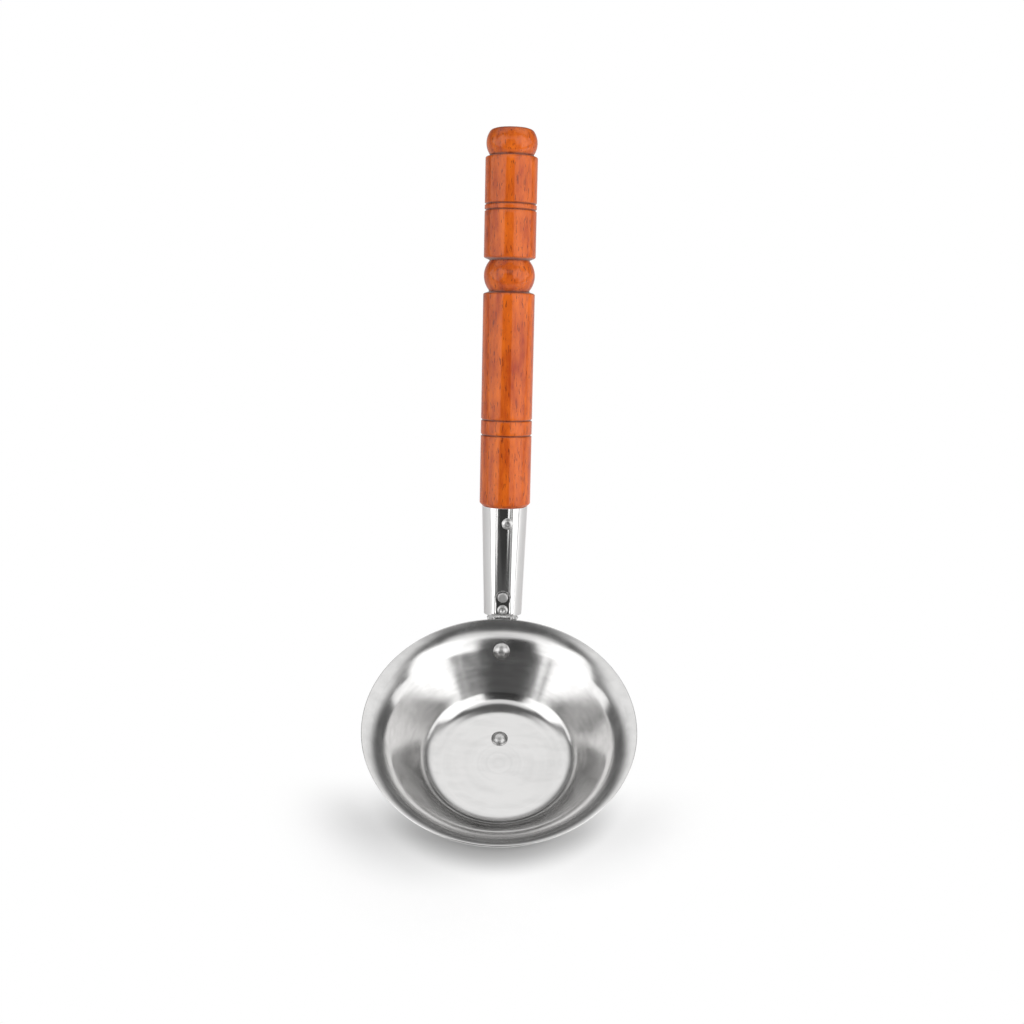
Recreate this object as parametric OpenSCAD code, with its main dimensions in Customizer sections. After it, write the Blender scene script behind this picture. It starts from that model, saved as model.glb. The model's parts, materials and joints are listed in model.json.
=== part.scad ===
// Ladle of pressed stainless sheet with a turned wooden handle.
// A riveted bar under the bowl carries it, and its flat underside lies at z = 0.
// The bowl's axis is the Z axis, and the handle rises toward +Y.

/* [Bowl] */
// Diameter of the rim, measured underneath
rim_d = 140; // [124:1:160]
// Height of the rim above the underside of the floor
bowl_h = 36; // [30:1:42]
// Thickness of the pressed sheet
sheet_t = 1; // [0.8:0.1:1.4]
// Diameter at which the slopes of floor and wall meet
foot_d = 76; // [70:1:82]
// Bend radius between floor and wall, underneath
knee_r = 12; // [8:1:16]
// Width of the flared lip, seen from above
lip_w = 9; // [6:0.5:10]
// Height that the lip climbs over its width
lip_rise = 3.3; // [2:0.1:4]
// Bend radius between wall and lip
lip_r = 3; // [2:0.5:4]

/* [Handle] */
// Angle of the handle above the rim's plane
rise = 53.6; // [48:0.2:58]
// Length of the wood that shows
wood_l = 200; // [190:1:230]
// Diameter of the two turned barrels
wood_d = 27.6; // [26:0.2:30]
// Diameter of the end knob and of the middle bead
bead_d = 27.2; // [26:0.2:28]
// Diameter of the necks beside the bead
neck_d = 21.8; // [20:0.2:24]
// Diameter of the neck under the end knob
knob_neck_d = 23.4; // [22:0.2:25]
// Length of the lower barrel
barrel_l = 114.5; // [100:0.5:120]
// Length of the bead with its two necks
bead_l = 18.4; // [16:0.2:22]
// Length of the end knob
knob_l = 14.9; // [12:0.1:18]
// Depth of the turned grooves
groove_depth = 0.6; // [0.4:0.1:1]
// Distance from the lower end of the wood to the wide pair of grooves
wide_pair_at = 39; // [30:1:50]
// Spacing of the wide pair of grooves
wide_pair_step = 8.2; // [6:0.2:12]
// Distance from the top of the wood to the narrow pair of grooves
narrow_pair_at = 39.2; // [30:0.2:44]
// Spacing of the narrow pair of grooves
narrow_pair_step = 3.1; // [2:0.1:5]
// Chamfer at the lower end of the wood
wood_chamfer = 1.9; // [1:0.1:2]
// Length of the spigot that the socket holds
spigot_l = 34; // [26:1:38]

/* [Socket] */
// Outer diameter of the socket at the wood
socket_top_d = 24.8; // [24:0.2:26]
// Outer diameter of the socket at the bowl
socket_end_d = 20.8; // [20:0.2:22]
// Length of the socket from the wood to its open end
socket_l = 59.7; // [56:0.1:70]
// Thickness of the rolled sheet
socket_t = 1; // [0.8:0.1:1.2]
// Distance that the socket reaches below the level of the rim, along its axis
socket_drop = 7; // [5:0.5:9]
// Width of the pressed flat on the front of the socket
flat_w = 8.3; // [7.4:0.1:9]
// Distance of the pressed flat from the socket's axis
flat_at = 9.1; // [8.9:0.1:9.3]
// Length of the pressed flat from the open end
flat_l = 14; // [13:0.5:16]
// Width of the open seam at the back of the socket
seam_w = 0.4; // [0.2:0.1:0.8]

/* [Tang] */
// Width of the flat bar that carries the bowl
tang_w = 14; // [12:0.5:15]
// Thickness of the bar
tang_t = 2.5; // [2:0.1:3]
// Distance that the bar's round end reaches past the bowl's centre
tang_end = 4; // [3:0.5:10]
// Distance up the wall at which the bar leaves it
tang_leave = 37.4; // [36.6:0.2:38]
// Length of the bar inside the socket, from the socket's open end
tang_in = 19; // [16:0.5:20]

/* [Rivets] */
// Diameter of the domed heads inside the bowl
dome_d = 8.8; // [8:0.2:9.6]
// Height of the domed heads
dome_h = 2.8; // [2:0.1:3.2]
// Diameter of the bowl rivets
shank_d = 4.8; // [4:0.2:5]
// Distance from the bowl's centre to the floor rivet
floor_rivet_at = 15.5; // [14:0.5:18]
// Distance up the wall to the wall rivet
wall_rivet_at = 31; // [29:0.5:31]
// Diameter of the flat heads on the socket
flat_head_d = 5.8; // [5:0.1:6.2]
// Height of the flat heads on the socket
flat_head_h = 0.9; // [0.6:0.1:1.2]
// Diameter of the socket rivets
flat_shank_d = 3; // [2.6:0.1:3.2]
// Distance from the open end of the socket to the first socket rivet
flat_rivet_at = 3.3; // [3.1:0.1:3.6]
// Spacing of the two socket rivets
flat_rivet_step = 7.2; // [6.6:0.1:7.4]
// Diameter of the nail's head at the top of the socket
nail_head_d = 6.4; // [5:0.2:7]
// Diameter of the nail
nail_d = 2.6; // [2:0.1:3]
// Length of the nail under its head
nail_l = 14; // [10:1:18]
// Distance from the wood down to the nail
nail_at = 8.1; // [7:0.1:10]
// Distance of the nail to the right of the middle
nail_side = 1.9; // [0:0.1:3]

/* [Welds] */
// Diameter of the tack weld in the middle
tack_d = 2.2; // [1.8:0.1:2.6]
// Length of the tack weld in the middle
tack_l = 8.2; // [6:0.2:10]
// Diameter of the two tack welds at the sides
side_tack_d = 3; // [2.6:0.1:3.4]
// Distance of the side tack welds from the middle
side_tack_at = 6.3; // [5.8:0.1:7]

/* [Hidden] */

$fn = 96;
// Clearance of pieces that lie on each other
seat_gap = 0.05;
// Clearance between the socket and the rim
rim_gap = 0.5;
// Clearance of the spigot in the socket, on the radius
spigot_gap = 0.15;
// Clearance of a rivet in its holes, on the radius
hole_gap = 0.05;
// Steps in each rounded bend
bend_steps = 8;
// Height of the rivets' formed ends
tail_h = 1.2;
// Share of a shank's diameter that the formed end inside the socket measures
tail_ratio = 1.6;
// Share of a flat head's diameter that its dimple measures
dimple_ratio = 0.4;
// Lengths that pass right through what they cut
over = 1;
sliver = 0.1;

rim_r = rim_d / 2;
// Heights of the bowl's underside and of its rim above the underside of the bar
floor_z = tang_t + seat_gap;
rim_z = floor_z + bowl_h;
foot = [foot_d / 2, floor_z];
lip_foot = [rim_r - lip_w, rim_z - sheet_t - lip_rise];
wall_dir = unit(lip_foot - foot);
wall_angle = atan2(wall_dir[1], wall_dir[0]);
under_line = [[0, floor_z], foot, lip_foot, [rim_r, rim_z - sheet_t]];
under_radii = [0, knee_r, lip_r, 0];

socket_end_r = socket_end_d / 2;
axis_dir = [cos(rise), sin(rise)];
axis_front = [-sin(rise), cos(rise)];
// Point of the handle's axis at the level of the rim
axis_y = rim_r + rim_gap + socket_end_r * sin(rise) + socket_drop * cos(rise);
wood_at = socket_l - socket_drop;
tang_face = flat_at - socket_t - seat_gap;
tang_turn_at = -socket_drop - 1.5;
// Width of the bar that the round socket leaves room for
tang_tip_w = 2 * sqrt(pow(socket_end_r - socket_t - 2 * seat_gap, 2) - pow(tang_face, 2));

function unit(v) = v / norm(v);
function left(v) = [-v[1], v[0]];
function turned(v, a) = [v[0] * cos(a) - v[1] * sin(a), v[0] * sin(a) + v[1] * cos(a)];
function reversed(p) = [for (i = [len(p) - 1:-1:0]) p[i]];
// Point at a distance along the handle's axis and a distance toward the bowl from it
function on_handle(along, front) = [axis_y, rim_z] + along * axis_dir + front * axis_front;
// Outer radius of the socket at a distance along the axis
function socket_r(along) = (socket_end_d + (socket_top_d - socket_end_d)
    * (along + socket_drop) / socket_l) / 2;

// Arc round the corner b of the line a b c, moved to the left by d
function bend(a, b, c, r, d) =
    let (
        u = unit(a - b),
        v = unit(c - b),
        half = acos(u * v) / 2,
        turn = sign((b - a)[0] * (c - b)[1] - (b - a)[1] * (c - b)[0]),
        centre = b + unit(u + v) * r / sin(half),
        start = b + u * r / tan(half) - centre,
        sweep = turn * (180 - 2 * half)
    )
    [for (k = [0:bend_steps]) centre + (1 - turn * d / r) * turned(start, sweep * k / bend_steps)];

// Line p with its corners rounded by the radii r, moved to its left by d
function bent(p, r, d) = let (n = len(p) - 1) [
    p[0] + d * left(unit(p[1] - p[0])),
    for (i = [1:n - 1]) each bend(p[i - 1], p[i], p[i + 1], r[i], d),
    p[n] + d * left(unit(p[n] - p[n - 1]))
];

// Section of a bent sheet between two distances to the left of its line
module bent_section(p, r, d0, d1) {
    polygon(concat(bent(p, r, d0), reversed(bent(p, r, d1))));
}

// Arc of radius r that bulges outward between two points of a turned outline
function bulge(a, b, r, steps) =
    let (
        mid = (a + b) / 2,
        chord = b - a,
        out = unit([chord[1], -chord[0]]),
        centre = mid - out * sqrt(r * r - chord * chord / 4),
        a0 = atan2(a[1] - centre[1], a[0] - centre[0]),
        a1 = atan2(b[1] - centre[1], b[0] - centre[0])
    )
    [for (k = [0:steps]) centre + r * [cos(a0 + (a1 - a0) * k / steps), sin(a0 + (a1 - a0) * k / steps)]];

// Radius of the arc that rises from a chord of length l by a height h
function arc_radius(l, h) = (l * l / 4 + h * h) / (2 * h);

// Places what is drawn along Z with the handle's axis, its front toward the bowl
module along_handle(along = 0) {
    translate([0, axis_y, rim_z]) rotate([rise - 90, 0, 0]) translate([0, 0, along]) children();
}

// Places what is drawn along Z on the front of the socket, Z pointing out of it
module on_socket_front(along, side, front) {
    along_handle(along) translate([side, -front, 0]) rotate([90, 0, 0]) children();
}

// Places what is drawn along Z on the wall's underside, Z pointing into the bowl
module on_wall(up) {
    p = foot + up * wall_dir;
    translate([0, p[0], p[1]]) rotate([wall_angle, 0, 0]) children();
}

module dome(d, h) {
    r = arc_radius(d, h);
    intersection() {
        translate([0, 0, h - r]) sphere(r = r);
        cylinder(d = d, h = h + over);
    }
}

// Solid of a bowl rivet under its head, countersunk flush in the bar, with a gap round it
module rivet_shank(gap) {
    r = shank_d / 2 + gap;
    translate([0, 0, -floor_z]) cylinder(r = r, h = floor_z + sheet_t + seat_gap);
    translate([0, 0, -floor_z]) cylinder(r1 = r + tail_h, r2 = r, h = tail_h);
}

// Domed rivet that stands on the sheet, its formed end flush with the bar's underside
module domed_rivet() {
    translate([0, 0, sheet_t + seat_gap]) dome(dome_d, dome_h);
    rivet_shank(0);
}

module wall_rivet() {
    color("lightgray") on_wall(wall_rivet_at) domed_rivet();
}

module floor_rivet() {
    color("lightgray") translate([0, floor_rivet_at, floor_z]) domed_rivet();
}

// The holes of both bowl rivets, opened a little past the faces they end on
module bowl_rivet_holes() {
    for (shift = [-sliver, 0, sliver]) {
        translate([0, floor_rivet_at, floor_z + shift]) rivet_shank(hole_gap);
        on_wall(wall_rivet_at) translate([0, 0, shift]) rivet_shank(hole_gap);
    }
}

module bowl() {
    color("silver") difference() {
        rotate_extrude($fn = 180) bent_section(under_line, under_radii, 0, sheet_t);
        bowl_rivet_holes();
    }
}

module tang() {
    leave = foot + tang_leave * wall_dir;
    line = [[-tang_end, floor_z], foot, leave, on_handle(tang_turn_at, tang_face + seat_gap),
        on_handle(tang_in - socket_drop, tang_face + seat_gap)];
    radii = [0, knee_r, 3 * tang_t, 1.2 * tang_t, 0];
    color("darkgray") difference() {
        intersection() {
            rotate([90, 0, 90]) translate([0, 0, -tang_w / 2]) linear_extrude(tang_w)
                bent_section(line, radii, -seat_gap - tang_t, -seat_gap);
            linear_extrude(2 * rim_z + socket_l, center = true) tang_outline(leave[0]);
        }
        bowl_rivet_holes();
        socket_rivet_holes();
    }
}

// Outline of the bar from above: rounded under the bowl, and narrowed where it enters the socket
module tang_outline(leave_y) {
    narrow_y = on_handle(tang_turn_at, tang_face)[0] - tang_t;
    far_y = on_handle(tang_in, 0)[0] + tang_in;
    round_y = tang_w / 2 - tang_end;
    translate([0, round_y]) circle(d = tang_w);
    polygon([
        [-tang_w / 2, round_y], [tang_w / 2, round_y],
        [tang_w / 2, leave_y], [tang_tip_w / 2, narrow_y], [tang_tip_w / 2, far_y],
        [-tang_tip_w / 2, far_y], [-tang_tip_w / 2, narrow_y], [-tang_w / 2, leave_y]
    ]);
}

module socket_rivet_holes() {
    for (along = [flat_rivet_at, flat_rivet_at + flat_rivet_step])
        on_socket_front(along - socket_drop, 0, 0)
            cylinder(r = flat_shank_d / 2 + hole_gap, h = socket_end_d, $fn = 48);
}

// Outline of the pressed flat: straight to the open end, round at the top
module flat_outline(w) {
    translate([0, flat_l - flat_w / 2]) circle(d = w);
    translate([-w / 2, -over]) square([w, flat_l - flat_w / 2 + over]);
}

// The flat's outline made solid between two distances in front of the socket's axis
module flat_block(w, from, to) {
    along_handle(-socket_drop) translate([0, -from, 0]) rotate([90, 0, 0]) linear_extrude(to - from)
        flat_outline(w);
}

// Tapered round bar of the socket, its surface moved out by a distance
module socket_bar(grow) {
    along_handle(-socket_drop)
        cylinder(d1 = socket_end_d + 2 * grow, d2 = socket_top_d + 2 * grow, h = socket_l);
}

module socket() {
    color("gainsboro") difference() {
        socket_bar(0);
        flat_block(flat_w, flat_at, flat_at + socket_end_r);
        difference() {
            along_handle(-socket_drop - sliver)
                cylinder(d1 = socket_end_d - 2 * socket_t, d2 = socket_top_d - 2 * socket_t,
                    h = socket_l + 2 * sliver);
            flat_block(flat_w + 2 * socket_t, flat_at - socket_t, flat_at + socket_end_r);
        }
        along_handle(-socket_drop - over) translate([-seam_w / 2, 0, 0])
            cube([seam_w, socket_top_d, socket_l + 2 * over]);
        socket_rivet_holes();
        nail_shape(hole_gap);
    }
}

// Nail without its head, with a gap round it
module nail_shape(gap) {
    along = wood_at - nail_at;
    on_socket_front(along, nail_side, socket_r(along) - nail_l) {
        cylinder(r = nail_d / 2 + gap, h = nail_l + socket_end_r, $fn = 48);
        mirror([0, 0, 1]) cylinder(r1 = nail_d / 2 + gap, r2 = nail_d / 8, h = nail_d, $fn = 48);
    }
}

// Turned outline of the wood, radius against distance from its lower end
function wood_outline() =
    let (
        r = wood_d / 2,
        bead_from = barrel_l,
        bead_to = barrel_l + bead_l,
        knob_from = wood_l - knob_l,
        neck_l = 1.6,
        edge = 0.5,
        bead_chord = bead_l - 2 * neck_l,
        bead_r = arc_radius(bead_chord, (bead_d - neck_d) / 2),
        top_r = bead_d / 2 - 2.2,
        cap_h = 1.6,
        knob_a = [knob_neck_d / 2, knob_from + 1.3],
        knob_b = [top_r, wood_l - cap_h],
        knob_r = arc_radius(norm(knob_b - knob_a), (bead_d - knob_neck_d) / 2),
        narrow_at = wood_l - narrow_pair_at - narrow_pair_step
    )
    concat(
        [[0, -spigot_l]],
        [[socket_r(wood_at - spigot_l) - socket_t - spigot_gap, -spigot_l],
            [socket_r(wood_at) - socket_t - spigot_gap, 0],
            [r - wood_chamfer, 0], [r, wood_chamfer]],
        groove(r, wide_pair_at), groove(r, wide_pair_at + wide_pair_step),
        [[r, bead_from - edge], [r - edge, bead_from], [neck_d / 2, bead_from + neck_l / 2]],
        bulge([neck_d / 2, bead_from + neck_l], [neck_d / 2, bead_to - neck_l], bead_r, 16),
        [[neck_d / 2 - edge / 2, bead_to - neck_l * 0.7], [r - edge, bead_to], [r, bead_to + edge]],
        groove(r, narrow_at), groove(r, narrow_at + narrow_pair_step),
        [[r, knob_from - edge], [r - edge, knob_from], [knob_neck_d / 2, knob_from + 0.4]],
        bulge(knob_a, knob_b, knob_r, 16),
        [[top_r * 0.9, wood_l - cap_h * 0.45], [top_r * 0.7, wood_l - cap_h * 0.15],
            [top_r * 0.4, wood_l], [0, wood_l]]
    );

function groove(r, at) = [[r, at - groove_depth], [r - groove_depth, at - groove_depth * 0.3],
    [r - groove_depth, at + groove_depth * 0.3], [r, at + groove_depth]];

module wood_handle() {
    color("chocolate") difference() {
        along_handle(wood_at) rotate_extrude() polygon(wood_outline());
        nail_shape(hole_gap);
    }
}

// Flat-headed rivet through the pressed flat and the bar
module socket_rivet(along) {
    back = tang_face - tang_t - seat_gap;
    on_socket_front(along - socket_drop, 0, 0) {
        translate([0, 0, flat_at + seat_gap]) {
            cylinder(d = flat_head_d, h = flat_head_h * 0.6, $fn = 48);
            translate([0, 0, flat_head_h * 0.6])
                cylinder(d1 = flat_head_d, d2 = flat_head_d - flat_head_h, h = flat_head_h * 0.4, $fn = 48);
        }
        translate([0, 0, back]) cylinder(d = flat_shank_d, h = flat_at + seat_gap - back, $fn = 48);
        translate([0, 0, back - tail_h * 0.7]) cylinder(d = flat_shank_d * tail_ratio, h = tail_h * 0.7, $fn = 48);
    }
}

module upper_socket_rivet() {
    color("lightgray") socket_rivet(flat_rivet_at + flat_rivet_step);
}

module lower_socket_rivet() {
    color("darkgray") difference() {
        socket_rivet(flat_rivet_at);
        on_socket_front(flat_rivet_at - socket_drop, 0, flat_at + flat_head_h)
            sphere(d = flat_head_d * dimple_ratio, $fn = 48);
    }
}

module socket_nail() {
    along = wood_at - nail_at;
    seat = socket_r(along);
    color("lightgray") difference() {
        union() {
            on_socket_front(along, nail_side, seat) dome(nail_head_d, nail_head_d / 5);
            intersection() {
                nail_shape(0);
                on_socket_front(along, nail_side, seat - nail_l - nail_d)
                    cylinder(d = nail_head_d, h = nail_l + nail_d + seat_gap);
            }
        }
        on_socket_front(along, nail_side, seat + nail_head_d / 5) sphere(d = nail_head_d / 4, $fn = 48);
        intersection() {
            socket_bar(seat_gap);
            difference() {
                on_socket_front(along, nail_side, seat - over) cylinder(d = nail_head_d + over, h = 2 * over);
                nail_shape(0);
            }
        }
    }
}

// Small beads of weld that close the gap between the socket's open end and the rim
module rim_tack_welds() {
    // The underside's line, lengthened past the rim by the clearance
    wide_line = [for (i = [0:3]) under_line[i] + (i == 3 ? seat_gap * unit([lip_w, lip_rise]) : [0, 0])];
    color("whitesmoke") difference() {
        union() {
            translate([0, rim_r + rim_gap * 0.4, rim_z + tack_d * 0.3]) {
                rotate([0, 90, 0]) cylinder(d = tack_d, h = tack_l - tack_d, center = true, $fn = 48);
                for (x = [-1, 1]) translate([x * (tack_l - tack_d) / 2, 0, 0]) sphere(d = tack_d, $fn = 48);
            }
            for (x = [-1, 1]) translate([x * side_tack_at, rim_r + rim_gap * 2, rim_z - sheet_t / 2])
                sphere(d = side_tack_d, $fn = 48);
        }
        rotate_extrude($fn = 180)
            bent_section(wide_line, under_radii, -seat_gap, sheet_t + seat_gap);
        socket_bar(seat_gap);
    }
}

bowl();
tang();
socket();
wood_handle();
wall_rivet();
floor_rivet();
upper_socket_rivet();
lower_socket_rivet();
socket_nail();
rim_tack_welds();
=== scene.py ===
"""Soup ladle: brushed steel bowl, riveted bar, rolled socket and lacquered wooden handle."""

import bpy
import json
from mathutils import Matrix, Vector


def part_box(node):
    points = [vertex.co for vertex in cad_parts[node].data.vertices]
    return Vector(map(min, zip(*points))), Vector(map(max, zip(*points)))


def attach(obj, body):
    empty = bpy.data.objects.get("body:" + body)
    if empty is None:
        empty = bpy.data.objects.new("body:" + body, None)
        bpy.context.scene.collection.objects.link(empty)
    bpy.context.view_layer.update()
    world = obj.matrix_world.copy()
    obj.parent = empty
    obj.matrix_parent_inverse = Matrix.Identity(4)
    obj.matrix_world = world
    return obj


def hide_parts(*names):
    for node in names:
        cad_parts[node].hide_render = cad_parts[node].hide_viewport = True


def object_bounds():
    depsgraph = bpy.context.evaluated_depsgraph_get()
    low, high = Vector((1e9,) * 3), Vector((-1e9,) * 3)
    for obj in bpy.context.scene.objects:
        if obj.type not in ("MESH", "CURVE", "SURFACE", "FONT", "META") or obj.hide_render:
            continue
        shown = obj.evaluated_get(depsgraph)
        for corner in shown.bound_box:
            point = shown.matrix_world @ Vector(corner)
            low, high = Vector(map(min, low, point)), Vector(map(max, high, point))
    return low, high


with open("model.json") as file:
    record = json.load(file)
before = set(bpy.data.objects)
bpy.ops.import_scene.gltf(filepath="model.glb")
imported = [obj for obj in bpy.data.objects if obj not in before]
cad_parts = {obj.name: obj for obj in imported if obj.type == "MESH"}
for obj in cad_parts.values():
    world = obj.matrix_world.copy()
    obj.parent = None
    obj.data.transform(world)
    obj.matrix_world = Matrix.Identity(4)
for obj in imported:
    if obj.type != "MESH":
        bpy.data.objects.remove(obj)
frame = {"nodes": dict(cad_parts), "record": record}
CAD_BOX = [list(corner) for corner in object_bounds()]

import json
import math
import random

import bmesh
import bpy
from bpy.props import FloatProperty, FloatVectorProperty, IntProperty, PointerProperty
from mathutils import Matrix, Quaternion, Vector, noise

bl_info = {
    "name": "Soup ladle",
    "version": (1, 0, 0),
    "blender": (4, 5, 0),
    "location": "View3D > Sidebar > Ladle",
    "description": "Builds a soup ladle with a pressed steel bowl and a turned wooden handle",
    "category": "Add Mesh",
}

MM = 0.001

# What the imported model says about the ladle
BOWL_LOW, BOWL_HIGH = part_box("bowl")
BARREL = next(m for m in frame["record"]["mounts"] if m["name"] == "handle_barrel")
HANDLE_UP = Vector(BARREL["axis"]).normalized()
BARREL_POINT = Vector(BARREL["pos_m"])
FLOOR_Z = BOWL_LOW.z
RIM_R = BOWL_HIGH.x
RIM_Z = BOWL_HIGH.z
# Point of the handle's axis at the level of the rim, and the direction from it toward the bowl
AXIS_FOOT = BARREL_POINT - HANDLE_UP * ((BARREL_POINT.z - RIM_Z) / HANDLE_UP.z)
HANDLE_FRONT = Vector((0, -HANDLE_UP.z, HANDLE_UP.y))
HANDLE_FRAME = Matrix((Vector((1, 0, 0)), -HANDLE_FRONT, HANDLE_UP)).transposed().to_4x4()
HANDLE_FRAME.translation = AXIS_FOOT


def reach_along_handle(node):
    """Least and greatest distance of a node's points from the rim's level, along the handle."""
    reach = [(v.co - AXIS_FOOT).dot(HANDLE_UP) for v in frame["nodes"][node].data.vertices]
    return min(reach), max(reach)


# Places of the rivets: up the wall from its foot, and on the floor from the bowl's middle
WALL_RIVET_UP = 31 * MM
FLOOR_RIVET_Y = 15.5 * MM
# Radius of the shell round the ladle that only reflections see
SHELL_R = 3.0

SOCKET_FROM, SOCKET_TO = reach_along_handle("socket")
WOOD_TOP = reach_along_handle("wood_handle")[1]


class BowlSettings(bpy.types.PropertyGroup):
    """Form of the pressed bowl, apart from its rim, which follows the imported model"""
    sheet: FloatProperty(name="Sheet", description="Thickness of the sheet", default=1.0 * MM,
                         unit="LENGTH")
    foot_r: FloatProperty(name="Foot radius", description="Radius where floor and wall meet",
                          default=38 * MM, unit="LENGTH")
    knee_r: FloatProperty(name="Knee radius", description="Bend between floor and wall",
                          default=16 * MM, unit="LENGTH")
    lip_w: FloatProperty(name="Lip width", description="Width of the flared lip",
                         default=9 * MM, unit="LENGTH")
    lip_rise: FloatProperty(name="Lip rise", description="Height that the lip climbs",
                            default=3.3 * MM, unit="LENGTH")
    lip_r: FloatProperty(name="Lip bend", description="Bend between wall and lip",
                         default=24 * MM, unit="LENGTH")
    around: IntProperty(name="Steps round", description="Faces round the bowl", default=288)


class HandleSettings(bpy.types.PropertyGroup):
    """Turned form of the wooden handle"""
    wood_r: FloatProperty(name="Barrel radius", description="Radius of the barrels",
                          default=13.8 * MM, unit="LENGTH")
    bead_r: FloatProperty(name="Bead radius", description="Radius of bead and knob",
                          default=13.6 * MM, unit="LENGTH")
    neck_r: FloatProperty(name="Neck radius", description="Radius of the necks at the bead",
                          default=10.9 * MM, unit="LENGTH")
    knob_neck_r: FloatProperty(name="Knob neck radius", description="Radius under the knob",
                               default=11.7 * MM, unit="LENGTH")
    barrel_l: FloatProperty(name="Lower barrel", description="Length of the lower barrel",
                            default=114.5 * MM, unit="LENGTH")
    bead_l: FloatProperty(name="Bead length", description="Length of the bead with its necks",
                          default=18.4 * MM, unit="LENGTH")
    knob_l: FloatProperty(name="Knob length", description="Length of the end knob",
                          default=14.9 * MM, unit="LENGTH")
    chamfer: FloatProperty(name="Chamfer", description="Chamfer at the socket",
                           default=1.9 * MM, unit="LENGTH")
    groove: FloatProperty(name="Groove depth", description="Depth of the grooves",
                          default=0.6 * MM, unit="LENGTH")


class SocketSettings(bpy.types.PropertyGroup):
    """Form of the rolled socket and its pressed flat"""
    top_r: FloatProperty(name="Top radius", description="Radius at the wood",
                         default=12.4 * MM, unit="LENGTH")
    end_r: FloatProperty(name="End radius", description="Radius at the bowl",
                         default=10.4 * MM, unit="LENGTH")
    sheet: FloatProperty(name="Sheet", description="Thickness of the sheet",
                         default=1.0 * MM, unit="LENGTH")
    flat_at: FloatProperty(name="Flat distance", description="Pressed flat to the axis",
                           default=9.1 * MM, unit="LENGTH")
    flat_w: FloatProperty(name="Flat width", description="Width of the pressed flat",
                          default=8.3 * MM, unit="LENGTH")
    flat_l: FloatProperty(name="Flat length", description="Length of the pressed flat",
                          default=14 * MM, unit="LENGTH")
    seam: FloatProperty(name="Seam", description="Width of the open seam at the back",
                        default=0.4 * MM, unit="LENGTH")


class RivetSettings(bpy.types.PropertyGroup):
    """Sizes of rivets, nail and tack welds"""
    dome_r: FloatProperty(name="Dome radius", description="Radius of the domed heads",
                          default=4.4 * MM, unit="LENGTH")
    dome_h: FloatProperty(name="Dome height", description="Height of the domed heads",
                          default=2.8 * MM, unit="LENGTH")
    shank_r: FloatProperty(name="Shank radius", description="Radius of the bowl rivets",
                           default=2.4 * MM, unit="LENGTH")
    flat_r: FloatProperty(name="Flat head radius", description="Radius of the socket rivets' heads",
                          default=2.9 * MM, unit="LENGTH")
    flat_h: FloatProperty(name="Flat head height", description="Height of the socket rivets' heads",
                          default=0.9 * MM, unit="LENGTH")
    nail_r: FloatProperty(name="Nail head radius", description="Radius of the nail's head",
                          default=3.2 * MM, unit="LENGTH")
    nail_h: FloatProperty(name="Nail head height", description="Height of the nail's head",
                          default=1.28 * MM, unit="LENGTH")


class FinishSettings(bpy.types.PropertyGroup):
    """Colours of the finishes"""
    bowl: FloatVectorProperty(name="Bowl", description="Brushed steel of the bowl",
                              default=(0.62, 0.615, 0.61), subtype="COLOR")
    socket: FloatVectorProperty(name="Socket", description="Polished steel of the socket",
                                default=(0.70, 0.695, 0.69), subtype="COLOR")
    rivet: FloatVectorProperty(name="Rivets", description="Steel of rivets and nail",
                               default=(0.60, 0.595, 0.59), subtype="COLOR")
    wood_dark: FloatVectorProperty(name="Dark wood", description="Late wood of the grain",
                                   default=(0.29, 0.026, 0.001), subtype="COLOR")
    wood_light: FloatVectorProperty(name="Light wood", description="Early wood of the grain",
                                    default=(0.68, 0.135, 0.004), subtype="COLOR")


class StageSettings(bpy.types.PropertyGroup):
    """Camera, lamps and floor"""
    camera_at: FloatVectorProperty(name="Camera", description="Place of the camera",
                                   default=(0.00546, -0.38300, 0.57125), subtype="TRANSLATION",
                                   precision=5)
    camera_down: FloatProperty(name="Looks down", description="Angle of the view below level",
                               default=math.radians(44.863), subtype="ANGLE")
    camera_turn: FloatProperty(name="Turn", description="Angle of the view to the right",
                               default=math.radians(-0.164), subtype="ANGLE")
    camera_roll: FloatProperty(name="Roll", description="Tilt of the view about its axis",
                               default=math.radians(1.108), subtype="ANGLE")
    lens: FloatProperty(name="Lens", description="Focal length in millimetres", default=44.9)
    lamp: FloatProperty(name="Lamp", description="Power of each soft box in watts", default=7.0)
    fill: FloatProperty(name="Fill", description="Strength of the room's even light",
                        default=0.34)


class Signal:
    """A shader socket that Python's operators can work on."""

    def __init__(self, tree, socket):
        self.tree = tree
        self.socket = socket

    def math(self, operation, *others):
        return combined(self.tree, operation, self, *others)

    def __add__(self, other):
        return self.math("ADD", other)

    __radd__ = __add__

    def __sub__(self, other):
        return self.math("SUBTRACT", other)

    def __rsub__(self, other):
        return combined(self.tree, "SUBTRACT", other, self)

    def __mul__(self, other):
        return self.math("MULTIPLY", other)

    __rmul__ = __mul__

    def __truediv__(self, other):
        return self.math("DIVIDE", other)

    def __abs__(self):
        return self.math("ABSOLUTE")

    def step(self, low, high):
        """0 below low, 1 above high, smooth between; high may be the smaller one."""
        node = self.tree.nodes.new("ShaderNodeMapRange")
        node.interpolation_type = "SMOOTHSTEP"
        for name, value in (("Value", self), ("From Min", low), ("From Max", high)):
            feed(self.tree, node.inputs[name], value)
        return Signal(self.tree, node.outputs[0])

    def near(self, place, width):
        """1 at a place, falling to 0 at a distance."""
        return abs(self - place).step(width, 0)


def combined(tree, operation, *values):
    """Signal of one maths step on numbers and signals."""
    node = tree.nodes.new("ShaderNodeMath")
    node.operation = operation
    for slot, value in zip(node.inputs, values):
        feed(tree, slot, value)
    return Signal(tree, node.outputs[0])


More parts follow.
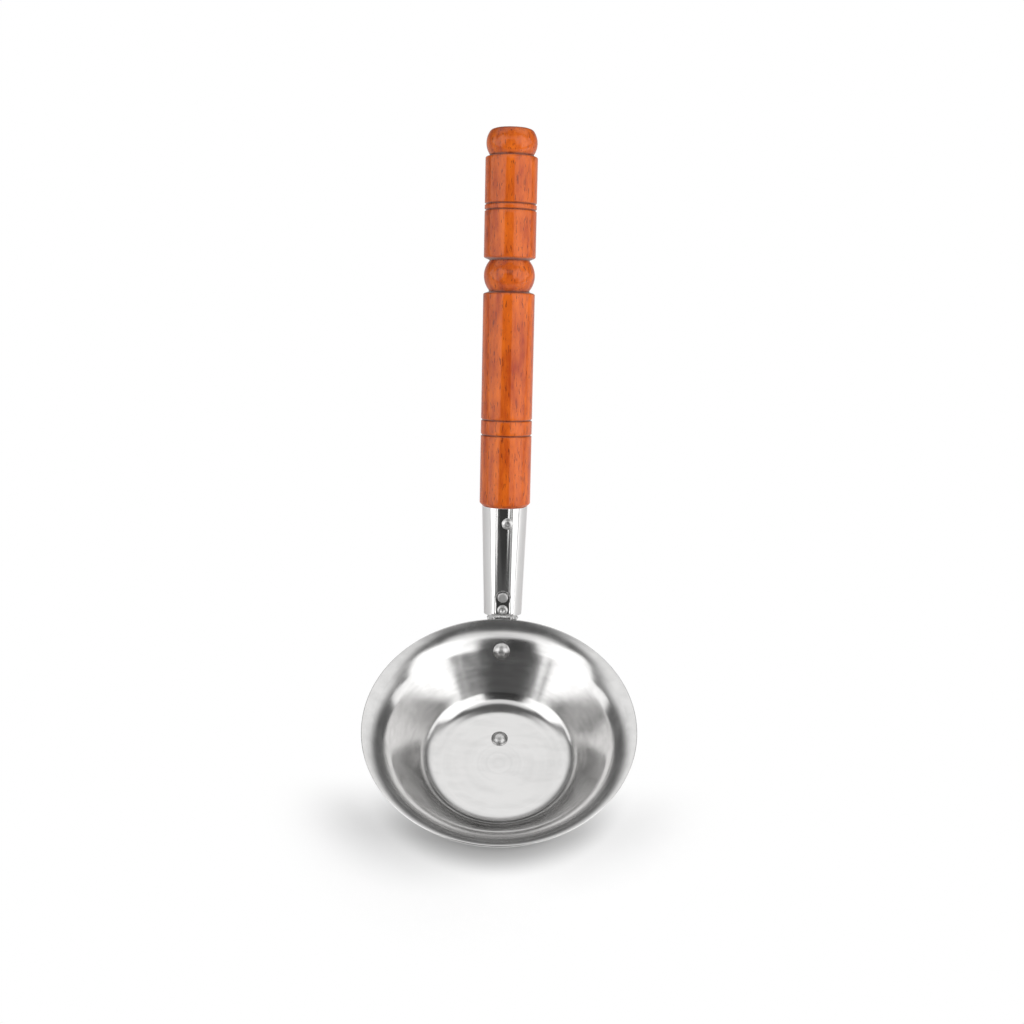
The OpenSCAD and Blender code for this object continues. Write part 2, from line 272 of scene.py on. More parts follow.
def feed(tree, slot, value):
    """Links a signal to a socket, or sets the socket's value."""
    if isinstance(value, Signal):
        tree.links.new(value.socket, slot)
    else:
        slot.default_value = value


class Finish:
    """A material or world under construction."""

    def __init__(self, name, world=None):
        self.material = world or bpy.data.materials.new(name)
        self.material.use_nodes = True
        self.tree = self.material.node_tree
        self.tree.nodes.clear()

    def node(self, kind, settings=None, inputs=None, output=0):
        """Adds a node; settings come first, then the values and links of its sockets."""
        made = self.tree.nodes.new("ShaderNode" + kind)
        for key, value in (settings or {}).items():
            setattr(made, key, value)
        for key, value in (inputs or {}).items():
            feed(self.tree, made.inputs[key], value)
        return Signal(self.tree, made.outputs[output]) if made.outputs else None

    def place(self):
        """Position on the object, in metres."""
        return self.node("TexCoord", output="Object")

    def dot(self, vector, direction):
        return self.node("VectorMath", {"operation": "DOT_PRODUCT"},
                         {0: vector, 1: tuple(direction)}, output="Value")

    def shift(self, vector, offset):
        return self.node("VectorMath", {"operation": "SUBTRACT"}, {0: vector, 1: tuple(offset)})

    def pack(self, x, y, z):
        return self.node("CombineXYZ", inputs={0: x, 1: y, 2: z})

    def grain(self, vector, scale, detail=3.0, roughness=0.5):
        """Noise between 0 and 1."""
        return self.node("TexNoise", None, {"Vector": vector, "Scale": scale, "Detail": detail,
                                            "Roughness": roughness})

    def blend(self, factor, first, second):
        """Mix of two colours."""
        made = self.tree.nodes.new("ShaderNodeMix")
        made.data_type = "RGBA"
        feed(self.tree, made.inputs["Factor"], factor)
        for key, value in ((6, first), (7, second)):
            if not isinstance(value, Signal):
                value = (*value[:3], 1)
            feed(self.tree, made.inputs[key], value)
        return Signal(self.tree, made.outputs[2])

    def bump(self, height, distance, strength=1.0):
        return self.node("Bump", None, {"Height": height, "Distance": distance,
                                        "Strength": strength})

    def surface(self, **inputs):
        """Closes the material with a Principled shader."""
        values = {key.replace("_", " ").title().replace("Ior", "IOR"): value
                  for key, value in inputs.items()}
        shader = self.node("BsdfPrincipled", None, values)
        self.node("OutputMaterial", None, {"Surface": shader})
        return self.material


def bowl_steel():
    """Steel brushed in rings, with faint blotches and patches of wear."""
    settings = bpy.context.scene.ladle_finish
    f = Finish("brushed_bowl_steel")
    at = f.place()
    x, y, z = (f.dot(at, axis) for axis in ((1, 0, 0), (0, 1, 0), (0, 0, 1)))
    radius = (x * x + y * y).math("SQRT")
    ring = f.pack(radius, z, 0.0)
    fine = f.grain(ring, 2600.0, 2.0)
    coarse = f.grain(ring, 420.0, 3.0)
    patch = f.grain(at, 55.0, 4.0, 0.6)
    smear = f.grain(f.pack(x * 0.3, y, z * 3.0), 160.0, 3.0)
    rough = 0.09 + 0.08 * coarse + 0.09 * patch.step(0.4, 0.75) + 0.05 * fine
    tone = 0.68 + 0.16 * coarse + 0.30 * smear + 0.12 * patch
    colour = f.blend(tone, (0, 0, 0), tuple(settings.bowl))
    height = fine * 0.6 + coarse * 0.4
    return f.surface(base_color=colour, metallic=1.0, roughness=rough, anisotropic=0.45,
                     normal=f.bump(height, 0.00002, 0.6))


def socket_steel():
    """Polished steel with faint lines along the socket."""
    settings = bpy.context.scene.ladle_finish
    f = Finish("polished_socket_steel")
    at = f.shift(f.place(), AXIS_FOOT)
    along, side, front = (f.dot(at, d) for d in (HANDLE_UP, (1, 0, 0), HANDLE_FRONT))
    streak = f.grain(f.pack(side, front, along * 0.02), 900.0, 3.0)
    patch = f.grain(at, 90.0, 3.0)
    rough = 0.05 + 0.06 * streak + 0.05 * patch.step(0.45, 0.8)
    colour = f.blend(0.93 + 0.07 * patch, (0, 0, 0), tuple(settings.socket))
    return f.surface(base_color=colour, metallic=1.0, roughness=rough,
                     normal=f.bump(streak, 0.00001, 0.4))


def rivet_steel(name="rivet_steel", dull=0.0):
    """Satin steel with small scratches."""
    settings = bpy.context.scene.ladle_finish
    f = Finish(name)
    at = f.place()
    speck = f.grain(at, 1500.0, 3.0, 0.6)
    patch = f.grain(at, 320.0, 3.0)
    rough = 0.3 + dull + 0.15 * patch
    colour = f.blend(0.8 + 0.25 * patch, (0, 0, 0), tuple(settings.rivet))
    return f.surface(base_color=colour, metallic=1.0, roughness=rough,
                     normal=f.bump(speck, 0.00004, 0.5))


def tang_steel():
    """Rolled flat bar with lines along its length."""
    f = Finish("tang_steel")
    at = f.place()
    x, y, z = (f.dot(at, axis) for axis in ((1, 0, 0), (0, 1, 0), (0, 0, 1)))
    line = f.grain(f.pack(x, (y + z) * 0.03, 0.0), 1400.0, 3.0)
    patch = f.grain(at, 120.0, 4.0, 0.6)
    rough = 0.28 + 0.12 * patch + 0.06 * line
    colour = f.blend(0.82 + 0.2 * patch, (0, 0, 0), (0.56, 0.555, 0.55))
    return f.surface(base_color=colour, metallic=1.0, roughness=rough,
                     normal=f.bump(line, 0.00003, 0.5))


def lacquered_wood(grooves):
    """Reddish wood under clear lacquer: grain along the handle, dark pores, dark grooves."""
    settings = bpy.context.scene.ladle_finish
    f = Finish("lacquered_wood")
    at = f.shift(f.place(), AXIS_FOOT)
    along, side, front = (f.dot(at, d) for d in (HANDLE_UP, (1, 0, 0), HANDLE_FRONT))
    # Yearly rings round a pith that lies outside the handle, waved by slow noise
    sway = f.grain(f.pack(side, front, along * 0.18), 45.0, 2.0)
    ring_at = front + 0.055 + side * 0.35 + sway * 0.012
    rings = (ring_at * 1150.0).math("SINE") * 0.5 + 0.5
    figure = f.grain(f.pack(side, front, along * 0.22), 330.0, 5.0, 0.65)
    mottle = f.grain(f.pack(side, front, along * 0.5), 95.0, 4.0, 0.6)
    pore = f.grain(f.pack(side, front, along * 0.16), 1300.0, 2.0, 0.6)
    pores = pore.step(0.585, 0.67)
    tone = 0.60 * figure + 0.10 * rings + 0.50 * mottle - 0.10
    colour = f.blend(tone.step(0.18, 0.80), tuple(settings.wood_dark), tuple(settings.wood_light))
    colour = f.blend(pores * 0.7, colour, (0.10, 0.012, 0.002))
    knots = f.grain(f.pack(side, front, along * 0.8), 130.0, 2.0).step(0.66, 0.78)
    colour = f.blend(knots * 0.6, colour, (0.14, 0.02, 0.004))
    dark = None
    for place, width in grooves:
        line = along.near(place, width)
        dark = line if dark is None else dark.math("MAXIMUM", line)
    colour = f.blend(dark * 0.8, colour, (0.05, 0.008, 0.002))
    height = figure * 0.35 - pores * 0.5 + mottle * 0.5
    normal = f.bump(height, 0.00006, 0.55)
    return f.surface(base_color=colour, roughness=0.45 + 0.14 * figure,
                     specular_ior_level=0.12, coat_weight=0.6,
                     coat_roughness=0.12, coat_ior=1.5, normal=normal)


def bend(before, corner, after, radius, steps=8):
    """Points of the arc that rounds a corner."""
    u, v = (before - corner).normalized(), (after - corner).normalized()
    half = u.angle(v) / 2
    centre = corner + (u + v).normalized() * radius / math.sin(half)
    start = corner + u * radius / math.tan(half) - centre
    leg = corner - before
    turn = 1 if leg.x * (after - corner).y - leg.y * (after - corner).x > 0 else -1
    sweep = turn * (math.pi - 2 * half)
    points = []
    for k in range(steps + 1):
        a = sweep * k / steps
        points.append(centre + Vector((start.x * math.cos(a) - start.y * math.sin(a),
                                       start.x * math.sin(a) + start.y * math.cos(a))))
    return points


def rounded(points, radii, steps=8):
    """Line whose corners are rounded by their radii; the ends stay."""
    line = [Vector(p) for p in points]
    made = [line[0]]
    for i in range(1, len(line) - 1):
        made += bend(line[i - 1], line[i], line[i + 1], radii[i], steps) if radii[i] else [line[i]]
    return made + [line[-1]]


def beside(points, distance):
    """The line moved to its left by a distance, point by point."""
    moved = []
    for i, p in enumerate(points):
        a = (p - points[max(i - 1, 0)]) if i else (points[1] - p)
        b = (points[min(i + 1, len(points) - 1)] - p) if i < len(points) - 1 else a
        n = Vector((-a.y, a.x)).normalized() + Vector((-b.y, b.x)).normalized()
        moved.append(p + n * (2 * distance / n.length_squared))
    return moved


def spread(points, most):
    """Line with no step longer than most."""
    made = [points[0]]
    for a, b in zip(points, points[1:]):
        parts = max(1, math.ceil((b - a).length / most))
        made += [a.lerp(b, k / parts) for k in range(1, parts + 1)]
    return made


def turned(profile, around, matrix=None):
    """Mesh of a profile (radius, height) turned about Z; ends on the axis close it."""
    mesh = bmesh.new()
    rows = []
    for p in profile:
        if p.x < 1e-7:
            rows.append([mesh.verts.new((0, 0, p.y))] * around)
        else:
            rows.append([mesh.verts.new((p.x * math.sin(a), -p.x * math.cos(a), p.y))
                         for a in (2 * math.pi * k / around for k in range(around))])
    for low, high in zip(rows, rows[1:]):
        for k in range(around):
            ring = [low[k], low[(k + 1) % around], high[(k + 1) % around], high[k]]
            face = list(dict.fromkeys(ring))
            if len(face) > 2:
                mesh.faces.new(face)
    if matrix:
        mesh.transform(matrix)
    return mesh


def piece(name, mesh, material, node, sharp=math.radians(38)):
    """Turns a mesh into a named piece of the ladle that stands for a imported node."""
    bmesh.ops.recalc_face_normals(mesh, faces=mesh.faces)
    for face in mesh.faces:
        face.smooth = True
    for edge in mesh.edges:
        edge.smooth = not (edge.is_manifold and edge.calc_face_angle(0) > sharp)
    data = bpy.data.meshes.new(name)
    mesh.to_mesh(data)
    mesh.free()
    made = bpy.data.objects.new(name, data)
    bpy.context.scene.collection.objects.link(made)
    data.materials.append(material)
    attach(made, "root")
    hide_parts(node)
    return made


def bowl_under_line(s):
    """Underside of the bowl from its axis to the rim, as (radius, height)."""
    points = [(0, FLOOR_Z), (s.foot_r, FLOOR_Z),
              (RIM_R - s.lip_w, FLOOR_Z + 36 * MM - s.sheet - s.lip_rise),
              (RIM_R, FLOOR_Z + 36 * MM - s.sheet)]
    return points, [0, s.knee_r, s.lip_r, 0]


def wall_frame(up):
    """Matrix of a place up the wall's underside, Z into the bowl."""
    s = bpy.context.scene.ladle_bowl
    points, _ = bowl_under_line(s)
    foot, lip = Vector(points[1]), Vector(points[2])
    direction = (lip - foot).normalized()
    spot = foot + direction * up
    return (Matrix.Translation((0, spot.x, spot.y))
            @ Matrix.Rotation(math.atan2(direction.y, direction.x), 4, "X"))


class LADLE_OT_bowl(bpy.types.Operator):
    """Press the bowl: flat floor, straight wall, flared lip with a rounded edge"""
    bl_idname = "ladle.bowl"
    bl_label = "Bowl"

    def execute(self, context):
        s = context.scene.ladle_bowl
        points, radii = bowl_under_line(s)
        under = spread(rounded(points, radii, 14), 2.5 * MM)
        inner = beside(under, s.sheet)
        inner[0].x = 0
        middle = (under[-1] + inner[-1]) / 2
        start = under[-1] - middle
        edge = [middle + Vector((start.x * math.cos(a) - start.y * math.sin(a),
                                 start.x * math.sin(a) + start.y * math.cos(a))) * 0.999
                for a in (math.pi * k / 8 for k in range(1, 8))]
        push = (under[-1] - under[-2]).normalized() * (s.sheet / 2)
        under[-1] -= push
        inner[-1] -= push
        edge = [p - push for p in edge]
        mesh = turned(under + edge + inner[::-1], s.around)
        piece("pressed_bowl", mesh, bowl_steel(), "bowl")
        return {"FINISHED"}


class LADLE_OT_handle(bpy.types.Operator):
    """Turn the handle: two barrels, bead, knob and four grooves"""
    bl_idname = "ladle.handle"
    bl_label = "Wooden handle"

    def execute(self, context):
        s = context.scene.ladle_handle
        base = SOCKET_TO
        length = WOOD_TOP - base
        r, edge, neck = s.wood_r, 0.5 * MM, 1.6 * MM
        bead_from, bead_to = s.barrel_l, s.barrel_l + s.bead_l
        knob_from = length - s.knob_l
        wide = (39 * MM, 47.2 * MM)
        narrow = (length - 42.3 * MM, length - 39.2 * MM)

        def groove(at):
            g = s.groove
            return [(r, at - g), (r - g, at - 0.3 * g), (r - g, at + 0.3 * g), (r, at + g)]

        def bulge(a, b, rise, steps=28):
            a, b = Vector(a), Vector(b)
            chord = b - a
            radius = (chord.length_squared / 4 + rise * rise) / (2 * rise)
            out = Vector((chord.y, -chord.x)).normalized()
            centre = (a + b) / 2 - out * (radius - rise)
            a0 = math.atan2(a.y - centre.y, a.x - centre.x)
            a1 = math.atan2(b.y - centre.y, b.x - centre.x)
            return [tuple(centre + radius * Vector((math.cos(t), math.sin(t))))
                    for t in (a0 + (a1 - a0) * k / steps for k in range(steps + 1))]

        knob_step, knob_round, cap = 1.3 * MM, 2.2 * MM, 1.6 * MM
        top_r = s.bead_r - knob_round
        knob_a = (s.knob_neck_r, knob_from + knob_step)
        knob_b = (top_r, length - cap)
        spigot_l, spigot_r, spigot_end_r = 30 * MM, 10.9 * MM, 9 * MM
        outline = [(0, -spigot_l), (spigot_end_r, -spigot_l), (spigot_r, -0.2 * MM),
                   (r - s.chamfer, 0), (r, s.chamfer)]
        outline += groove(wide[0]) + groove(wide[1])
        outline += [(r, bead_from - edge), (r - edge, bead_from), (s.neck_r, bead_from + neck / 2)]
        outline += bulge((s.neck_r, bead_from + neck), (s.neck_r, bead_to - neck),
                         s.bead_r - s.neck_r)
        outline += [(s.neck_r - edge / 2, bead_to - neck * 0.7), (r - edge, bead_to),
                    (r, bead_to + edge)]
        outline += groove(narrow[0]) + groove(narrow[1])
        outline += [(r, knob_from - edge), (r - edge, knob_from), (s.knob_neck_r, knob_from + 0.4 * MM)]
        outline += bulge(knob_a, knob_b, s.bead_r - s.knob_neck_r)
        outline += [(top_r * 0.93, length - cap * 0.62), (top_r * 0.8, length - cap * 0.3),
                    (top_r * 0.6, length - cap * 0.1), (top_r * 0.3, length - cap * 0.01),
                    (0, length)]
        profile = [Vector((x, y + base)) for x, y in outline]
        soft = [profile[0]]
        for i in range(1, len(profile) - 1):
            a, p, b = profile[i - 1], profile[i], profile[i + 1]
            reach = min(0.22 * MM, (p - a).length * 0.3, (b - p).length * 0.3)
            if (p - a).angle(b - p, 0) > 0.2 and reach > 0.02 * MM:
                q0, q1 = p + (a - p).normalized() * reach, p + (b - p).normalized() * reach
                soft += [q0, q0.lerp(p, 0.5).lerp(p.lerp(q1, 0.5), 0.5), q1]
            else:
                soft.append(p)
        soft.append(profile[-1])
        mesh = turned(spread(soft, 2 * MM), 160, HANDLE_FRAME)
        dark = [(base + at, 0.75 * MM) for at in (*wide, *narrow)]
        dark += [(base + bead_from + 0.8 * MM, 1.3 * MM), (base + bead_to - 0.8 * MM, 1.3 * MM),
                 (base + knob_from + 0.7 * MM, 1.1 * MM)]
        handle = piece("turned_handle", mesh, lacquered_wood(dark),
                       "wood_handle", math.radians(60))
        # Kept out of the steel's reflections, which stay grey
        handle.visible_glossy = False
        return {"FINISHED"}


class LADLE_OT_socket(bpy.types.Operator):
    """Roll the socket: taper, open seam at the back and a pressed flat in front"""
    bl_idname = "ladle.socket"
    bl_label = "Socket"

    def execute(self, context):
        s = context.scene.ladle_socket
        length = SOCKET_TO - SOCKET_FROM
        across, rows = 256, 150
        gap = s.seam / s.end_r / 2

        def cone(h):
            return s.end_r + (s.top_r - s.end_r) * h / length

        def depth(x, h):
            """0 outside the pressed flat, 1 inside it, smooth along its edge."""
            mid = s.flat_l - s.flat_w / 2
            off = math.hypot(x, max(h - mid, 0))
            t = min(max((s.flat_w / 2 + 0.25 * MM - off) / (0.9 * MM), 0), 1)
            return t * t * (3 - 2 * t)

        def skin(inward):
            made = []
            for j in range(rows + 1):
                h = length * (j / rows) ** 1.25
                row = []
                for i in range(across + 1):
                    a = -math.pi + gap + (2 * math.pi - 2 * gap) * i / across
                    radius = cone(h) - inward
                    x = radius * math.sin(a)
                    front = radius * math.cos(a)
                    if front > 0:
                        front += (min(front, s.flat_at - inward) - front) * depth(x, h)
                    row.append(Vector((x, -front, SOCKET_FROM + h)))
                made.append(row)
            return made

        mesh = bmesh.new()
        outer = [[mesh.verts.new(p) for p in row] for row in skin(0)]
        inner = [[mesh.verts.new(p) for p in row] for row in skin(s.sheet)]
        for grid in (outer, inner):
            for low, high in zip(grid, grid[1:]):
                for i in range(across):
                    mesh.faces.new((low[i], low[i + 1], high[i + 1], high[i]))
        for j in (0, rows):
            for i in range(across):
                mesh.faces.new((outer[j][i], outer[j][i + 1], inner[j][i + 1], inner[j][i]))
        for i in (0, across):
            for j in range(rows):
                mesh.faces.new((outer[j][i], outer[j + 1][i], inner[j + 1][i], inner[j][i]))
        mesh.transform(HANDLE_FRAME)
        piece("rolled_socket", mesh, socket_steel(), "socket")
        return {"FINISHED"}


class LADLE_OT_tang(bpy.types.Operator):
    """Finish the bent bar under the bowl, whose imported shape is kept"""
    bl_idname = "ladle.tang"
    bl_label = "Bar under the bowl"

    def execute(self, context):
        bar = frame["nodes"]["tang"]
        soften(bar, tang_steel(), 0.35 * MM)
        return {"FINISHED"}


def soften(node, material, width):
    """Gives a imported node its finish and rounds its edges."""
    node.data.materials.clear()
    node.data.materials.append(material)
    edges = node.modifiers.new("rounded_edges", "BEVEL")
    edges.width = width
    edges.segments = 2
    edges.limit_method = "ANGLE"
    edges.angle_limit = math.radians(50)
    edges.harden_normals = True


def dome_profile(radius, height, dimple=0.0, steps=14):
    """Profile of a domed head from its axis down to its edge."""
    ball = (radius * radius + height * height) / (2 * height)
    span = math.asin(min(1, radius / ball))
    made = []
    for k in range(steps + 1):
        a = span * k / steps
        x, z = ball * math.sin(a), ball * math.cos(a) - ball + height
        if dimple:
            z -= dimple * math.exp(-(x / (radius * 0.28)) ** 2)
        made.append(Vector((x, z)))
    made[0].x = 0
    return made


class LADLE_OT_bowl_rivets(bpy.types.Operator):
    """Set the two domed rivets in the bowl, with ends flush in the bar"""
    bl_idname = "ladle.bowl_rivets"
    bl_label = "Bowl rivets"

    def execute(self, context):
        s = context.scene.ladle_rivets
        sheet = context.scene.ladle_bowl.sheet
        steel = rivet_steel()
        seat = sheet + 0.05 * MM
        dome = [Vector((p.x, p.y + seat)) for p in dome_profile(s.dome_r, s.dome_h, 0.12 * MM)]
        dome[-1].y = seat + 0.25 * MM
        edge = [Vector((s.dome_r, seat + 0.1 * MM)), Vector((s.dome_r - 0.1 * MM, seat))]
        shank = [Vector((s.shank_r, seat)), Vector((s.shank_r, -1.35 * MM)),
                 Vector((s.shank_r + 1.2 * MM, -2.5 * MM)), Vector((0, -2.53 * MM))]
        places = {"wall_rivet": wall_frame(WALL_RIVET_UP),
                  "floor_rivet": Matrix.Translation((0, FLOOR_RIVET_Y, FLOOR_Z))}
        for node, where in places.items():
            mesh = turned(dome + edge + shank, 64, where)
            piece("domed_" + node, mesh, steel, node)
        return {"FINISHED"}


def socket_front(along, side, front):
    """Matrix of a place in front of the handle's axis, Z toward the bowl's side."""
    turn = Matrix((Vector((1, 0, 0)), HANDLE_UP, HANDLE_FRONT)).transposed().to_4x4()
    turn.translation = (AXIS_FOOT + HANDLE_UP * along + HANDLE_FRONT * front
                        + Vector((side, 0, 0)))
    return turn


class LADLE_OT_socket_rivets(bpy.types.Operator):
    """Set the two flat rivets in the pressed flat"""
    bl_idname = "ladle.socket_rivets"
    bl_label = "Socket rivets"

    def execute(self, context):
        s = context.scene.ladle_rivets
        flat = context.scene.ladle_socket.flat_at + 0.05 * MM
        r, h = s.flat_r, s.flat_h
        tail = [Vector((1.5 * MM, 0)), Vector((1.5 * MM, -3.65 * MM)),
                Vector((2.4 * MM, -3.7 * MM)), Vector((2.4 * MM, -4.6 * MM)), Vector((0, -4.65 * MM))]
        plain = [Vector((0, h)), Vector((r * 0.5, h * 0.98)), Vector((r * 0.82, h * 0.92)),
                 Vector((r * 0.95, h * 0.7)), Vector((r, h * 0.4)), Vector((r * 0.99, 0))]
        ringed = [Vector((0, h * 0.42)), Vector((r * 0.25, h * 0.48)), Vector((r * 0.42, h * 0.85)),
                  Vector((r * 0.55, h)), Vector((r * 0.72, h * 0.92)), Vector((r * 0.9, h * 0.6)),
                  Vector((r, h * 0.3)), Vector((r * 0.99, 0))]
        for node, up, head, dull in (("upper_socket_rivet", 10.5 * MM, plain, 0.12),
                                     ("lower_socket_rivet", 3.3 * MM, ringed, 0.02)):
            mesh = turned(head + tail, 56, socket_front(SOCKET_FROM + up, 0, flat))
            piece("flat_" + node, mesh, rivet_steel("steel_of_" + node, dull), node)
        return {"FINISHED"}


class LADLE_OT_nail(bpy.types.Operator):
    """Drive the nail through the top of the socket into the wood"""
    bl_idname = "ladle.nail"
    bl_label = "Socket nail"

    def execute(self, context):
        s = context.scene.ladle_rivets
        k = context.scene.ladle_socket
        below_wood, side = 8.1 * MM, 1.9 * MM
        along = SOCKET_TO - below_wood
        share = (along - SOCKET_FROM) / (SOCKET_TO - SOCKET_FROM)
        radius = k.end_r + (k.top_r - k.end_r) * share
        head = dome_profile(s.nail_r, s.nail_h, 0.35 * MM, 18)
        head += [Vector((s.nail_r * 0.99, -0.25 * MM)), Vector((s.nail_r * 0.7, -0.3 * MM))]
        shank = [Vector((1.3 * MM, -0.3 * MM)), Vector((1.3 * MM, -14 * MM)),
                 Vector((0.4 * MM, -16 * MM)), Vector((0, -16.2 * MM))]
        mesh = turned(head + shank, 56, socket_front(along, side, radius))
        piece("driven_socket_nail", mesh, rivet_steel("nail_steel", -0.04),
              "socket_nail")
        return {"FINISHED"}


class LADLE_OT_welds(bpy.types.Operator):
    """Lay the small tack welds between the socket and the rim"""
    bl_idname = "ladle.welds"
    bl_label = "Tack welds"

    def execute(self, context):
        draw = random.Random(7)
        mesh = bmesh.new()
        low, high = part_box("rim_tack_welds")
        middle_beads = (-3.6, -2.4, -1.2, 0, 1.2, 2.4, 3.6)
        side_beads = (-6.9, -5.6, 5.6, 6.9)
        y, z = (low.y + high.y) / 2 - 0.3 * MM, high.z - 1.0 * MM
        blobs = [((x * MM, y, z), 0.95 * MM) for x in middle_beads]
        blobs += [((x * MM, y - 0.2 * MM, z - 0.7 * MM), 1.45 * MM) for x in side_beads]
        for centre, radius in blobs:
            made = bmesh.ops.create_icosphere(mesh, subdivisions=3, radius=radius)
            seed = Vector((draw.random(), draw.random(), draw.random())) * 9
            for v in made["verts"]:
                v.co *= 1 + 0.25 * noise.noise(v.co * 900 + seed)
                v.co.x *= 1.1
                v.co.z *= 0.8
                v.co += Vector(centre)
        piece("laid_tack_welds", mesh, rivet_steel("weld_steel", 0.0),
              "rim_tack_welds", math.radians(80))
        return {"FINISHED"}


def stage_piece(name, corners, material):
    """A flat sheet of the stage, from its corners."""
    data = bpy.data.meshes.new(name)
    data.from_pydata([tuple(c) for c in corners], [], [(0, 1, 2, 3)])
    made = bpy.data.objects.new(name, data)
    bpy.context.scene.collection.objects.link(made)
    data.materials.append(material)
    return made


def floor_material():
    """White floor that keeps the shadow under the bowl, deepened there by a shadow painted into its
    colour, and is plain white further out.
    """
    f = Finish("white_floor_with_painted_shadow")
    at = f.place()
    x, y = f.dot(at, (1, 0, 0)), f.dot(at, (0, 1, 0))
    away = (x * x * 0.8 + y * y).math("SQRT")
    # Painted shadow: the floor's colour is near black close under the bowl, grey a little further out
    # and white beyond
    inner = f.blend(away.step(0.040, 0.052), (0.05, 0.05, 0.05), (0.50, 0.50, 0.50))
    painted_shadow_colour = f.blend(away.step(0.050, 0.066), inner, (0.93, 0.93, 0.93))
    lit = f.node("BsdfDiffuse", None, {"Color": painted_shadow_colour})
    white = f.node("Emission", None, {"Color": (1, 1, 1, 1), "Strength": 1.0})
    seen = f.node("LightPath", output="Is Camera Ray")
    kept = away.step(0.112, 0.070) * y.step(-0.005, -0.045)
    far = (1.0 - kept) * seen
    mixed = f.node("MixShader", None, {0: far, 1: lit, 2: white})
    f.node("OutputMaterial", None, {"Surface": mixed})
    return f.material


def world_light(fill):
    """Even light, and white where the camera, polished steel or glass looks at it."""
    world = bpy.data.worlds.new("white_room")
    bpy.context.scene.world = world
    f = Finish("white_room", world)
    rays = [f.node("LightPath", output=name)
            for name in ("Is Camera Ray", "Is Glossy Ray", "Is Transmission Ray")]
    shown = rays[0].math("MAXIMUM", rays[1]).math("MAXIMUM", rays[2])
    strength = fill + shown * (1.0 - fill)
    back = f.node("Background", None, {"Color": (1, 1, 1, 1), "Strength": strength})
    f.node("OutputWorld", None, {"Surface": back})


def aim(thing, place, target):
    thing.location = place
    thing.rotation_mode = "QUATERNION"
    thing.rotation_quaternion = (Vector(target) - Vector(place)).to_track_quat("-Z", "Y")


class LADLE_OT_stage(bpy.types.Operator):
    """Set up the camera, the two soft boxes, the shell with its dark panels that reflections see, and
    the floor
    """
    bl_idname = "ladle.stage"
    bl_label = "Stage"

    def execute(self, context):
        s = context.scene.ladle_stage
        scene = context.scene
        scene.view_settings.view_transform = "Standard"
        data = bpy.data.cameras.new("photo_camera")
        camera = bpy.data.objects.new("photo_camera", data)
        scene.collection.objects.link(camera)
        data.lens = s.lens
        data.sensor_width = 36
        data.clip_start = 0.01
        camera.location = s.camera_at
        down, turn = s.camera_down, s.camera_turn
        look = Vector((math.sin(turn) * math.cos(down), math.cos(turn) * math.cos(down),
                       -math.sin(down)))
        camera.rotation_mode = "QUATERNION"
        camera.rotation_quaternion = (look.to_track_quat("-Z", "Y")
                                      @ Quaternion((0, 0, 1), s.camera_roll))
        scene.camera = camera

        world_light(s.fill)
        floor_z = CAD_BOX[0][2]
        half = 4.0
        stage_piece("floor", [(-half, -half, floor_z), (half, -half, floor_z),
                              (half, half, floor_z), (-half, half, floor_z)], floor_material())
        target = Vector((0, 0.06, 0.08))
        for name, sign in (("left", -1), ("right", 1)):
            turn, up, far = math.radians(64), math.radians(30), 0.95
            place = target + far * Vector((sign * math.sin(turn) * math.cos(up),
                                           -math.cos(turn) * math.cos(up), math.sin(up)))
            lamp = bpy.data.lights.new(name + "_soft_box", "AREA")
            lamp.shape = "RECTANGLE"
            lamp.size = 0.62
            lamp.size_y = 0.95
            lamp.energy = s.lamp * (1.0 + 0.3 * sign)
            box = bpy.data.objects.new(name + "_soft_box", lamp)
            scene.collection.objects.link(box)
            aim(box, place, target)
            box.visible_camera = False
            box.visible_glossy = False
        studio(target)
        return {"FINISHED"}


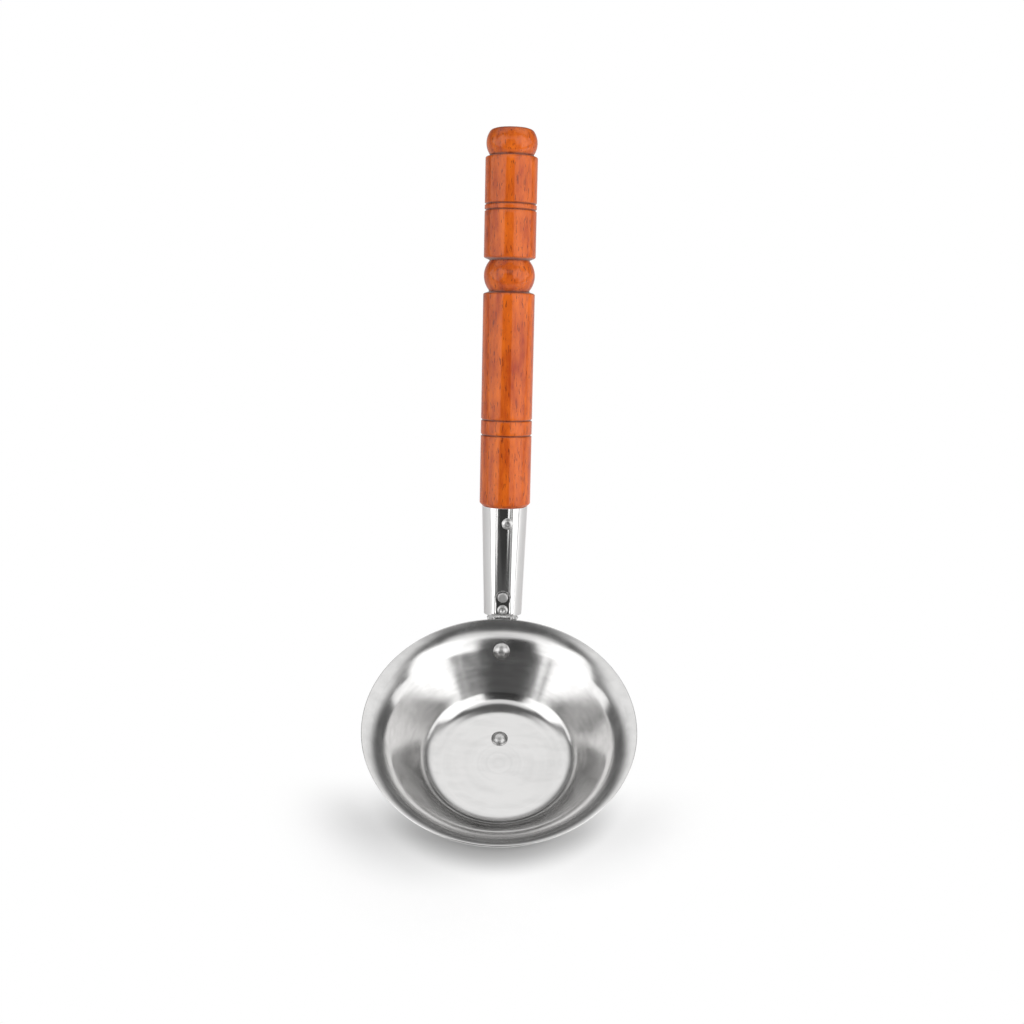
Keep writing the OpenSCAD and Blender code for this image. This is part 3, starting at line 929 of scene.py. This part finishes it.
def studio(centre):
    """Shell that only reflections see: two soft boxes, the dark gap between them, a pale ceiling."""
    f = Finish("studio_shell")
    at = f.place()
    x, y, z = (f.dot(at, axis) for axis in ((1, 0, 0), (0, 1, 0), (0, 0, 1)))
    turn = x.math("ARCTAN2", y * -1.0) * (180 / math.pi)
    up = (z / SHELL_R).math("ARCSINE") * (180 / math.pi)

    def panel(left, right, low, high, soft):
        return (turn.step(left - soft, left + soft) * turn.step(right + soft, right - soft)
                * up.step(low - soft, low + soft) * up.step(high + soft, high - soft))

    level = 0.15
    layers = ((abs(turn).step(85, 115) * up.step(20, 40), 1.25),
              (panel(-60, 60, 48, 66, 5.0), 1.1),
              (panel(20, 86, -8, 56, 2.0), 1.95),
              (panel(-86, -33, -8, 56, 2.0), 1.95),
              (panel(80, 106, -12, 24, 2.0), 1.6),
              (panel(-106, -80, -12, 24, 2.0), 1.6),
              (panel(-33, 21, 20.4, 50, 0.8), 0.05),
              (panel(-37, 36, 14, 20.4, 0.8), 0.12),
              (panel(-43, 43, -12, 14, 1.5), 0.15),
              (panel(37, 46, 6, 21, 1.0), 0.42),
              (panel(-47, -43, 6, 21, 0.8), 0.30),
              (panel(31, 33, 20, 60, 1.0), 0.9),
              (up.step(66, 78), 0.14))
    for mask, strength in layers:
        level = level + mask * (strength - level)
    shine = f.node("Emission", None, {"Color": (1, 1, 1, 1), "Strength": level})
    f.node("OutputMaterial", None, {"Surface": shine})
    mesh = bmesh.new()
    bmesh.ops.create_icosphere(mesh, subdivisions=4, radius=SHELL_R)
    data = bpy.data.meshes.new("studio_shell")
    mesh.to_mesh(data)
    mesh.free()
    shell = bpy.data.objects.new("studio_shell", data)
    shell.location = centre
    bpy.context.scene.collection.objects.link(shell)
    data.materials.append(f.material)
    shell.visible_camera = False
    shell.visible_diffuse = False
    shell.visible_shadow = False
    shell.visible_transmission = False


class LADLE_PT_panel(bpy.types.Panel):
    """Lists the pieces of the ladle"""
    bl_idname = "LADLE_PT_panel"
    bl_label = "Soup ladle"
    bl_space_type = "VIEW_3D"
    bl_region_type = "UI"
    bl_category = "Ladle"

    def draw(self, context):
        for operator in OPERATORS:
            self.layout.operator(operator.bl_idname)


SETTINGS = {
    "ladle_bowl": BowlSettings,
    "ladle_handle": HandleSettings,
    "ladle_socket": SocketSettings,
    "ladle_rivets": RivetSettings,
    "ladle_finish": FinishSettings,
    "ladle_stage": StageSettings,
}
OPERATORS = (LADLE_OT_stage, LADLE_OT_bowl, LADLE_OT_tang, LADLE_OT_socket, LADLE_OT_handle,
             LADLE_OT_bowl_rivets, LADLE_OT_socket_rivets, LADLE_OT_nail, LADLE_OT_welds)


def register():
    for name, group in SETTINGS.items():
        bpy.utils.register_class(group)
        setattr(bpy.types.Scene, name, PointerProperty(type=group))
    for kind in (*OPERATORS, LADLE_PT_panel):
        bpy.utils.register_class(kind)


def unregister():
    for kind in (LADLE_PT_panel, *reversed(OPERATORS)):
        bpy.utils.unregister_class(kind)
    for name, group in SETTINGS.items():
        delattr(bpy.types.Scene, name)
        bpy.utils.unregister_class(group)


def main():
    register()
    for operator in OPERATORS:
        group, name = operator.bl_idname.split(".")
        getattr(getattr(bpy.ops, group), name)()
    bpy.context.view_layer.update()


if __name__ == "__main__":
    main()
